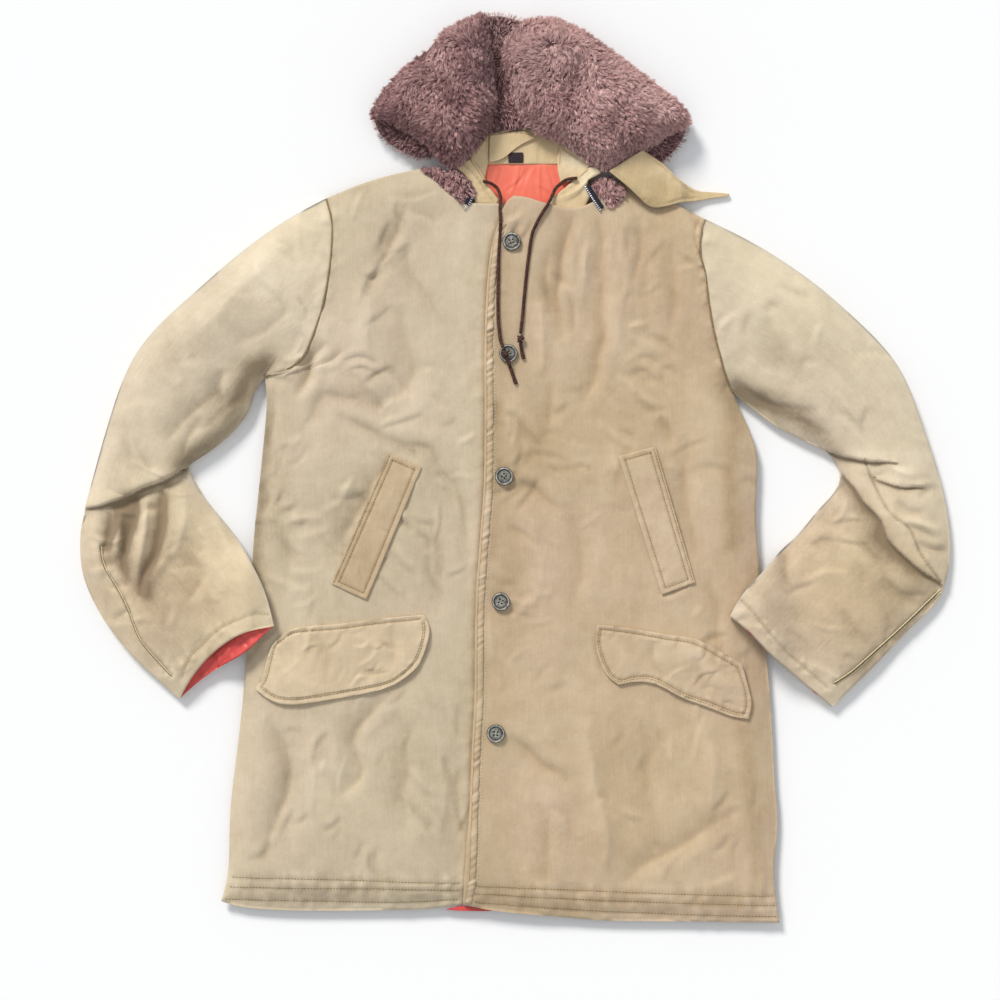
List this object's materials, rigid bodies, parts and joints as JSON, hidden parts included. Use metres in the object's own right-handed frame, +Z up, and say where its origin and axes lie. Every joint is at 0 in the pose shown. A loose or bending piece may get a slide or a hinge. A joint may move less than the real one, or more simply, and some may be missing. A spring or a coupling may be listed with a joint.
{
  "type": "military parka laid flat",
  "caption": "Khaki cotton parka laid flat with its front buttoned, a zip-on pile hood spread open, slanted and flapped pockets and an orange lining at the neck and cuffs.",
  "frame": {"origin": "centre of the whole garment's footprint, on the table that it lies on", "axes": "+Z up from the table, +Y towards the hood, +X to the right as seen from above with the hood at the top"},
  "size_m": [1.0466, 1.0945, 0.0611],
  "materials": {
    "shell_cloth": "washed khaki cotton with a fine cord, faded in patches, with topstitched edges",
    "orange_lining": "thin shiny orange nylon with fine creases",
    "hood_pile": "matted mauve-brown pile with paler tips",
    "zip_tape": "dark woven tape with small silver teeth",
    "dark_tab": "dark woven loop tab with no lettering",
    "button": "grey-green four-hole button with a raised rim and a dull shine",
    "drawstring": "dark brown braided cord with reddish flecks"
  },
  "bodies": {
    "root": {"back": "shell_cloth", "front_left": "shell_cloth", "front_right": "shell_cloth", "button_stand": "shell_cloth", "sleeve_left_over": "shell_cloth", "sleeve_left_under": "shell_cloth", "sleeve_right_over": "shell_cloth", "sleeve_right_under": "shell_cloth", "lining_cuff_left": "orange_lining", "lining_cuff_right": "orange_lining", "lining_neck": "orange_lining", "lining_hem": "orange_lining", "hood_shell": "shell_cloth", "hood_back": "hood_pile", "hood_left": "hood_pile", "hood_right": "hood_pile", "hood_strip_left": "hood_pile", "hood_strip_right": "hood_pile", "zip_left": "zip_tape", "zip_right": "zip_tape", "neck_facing": "shell_cloth", "neck_tab": "dark_tab", "neck_flap": "shell_cloth", "facing_left": "shell_cloth", "facing_right": "shell_cloth", "collar_left": "shell_cloth", "collar_right": "shell_cloth", "welt_left": "shell_cloth", "welt_right": "shell_cloth", "flap_left": "shell_cloth", "flap_right": "shell_cloth", "button_1": "button", "button_2": "button", "button_3": "button", "button_4": "button", "button_5": "button", "throat_latch": "shell_cloth", "cord_left": "drawstring", "cord_right": "drawstring", "knot_left": "drawstring", "knot_right": "drawstring"}
  },
  "joints": []
}
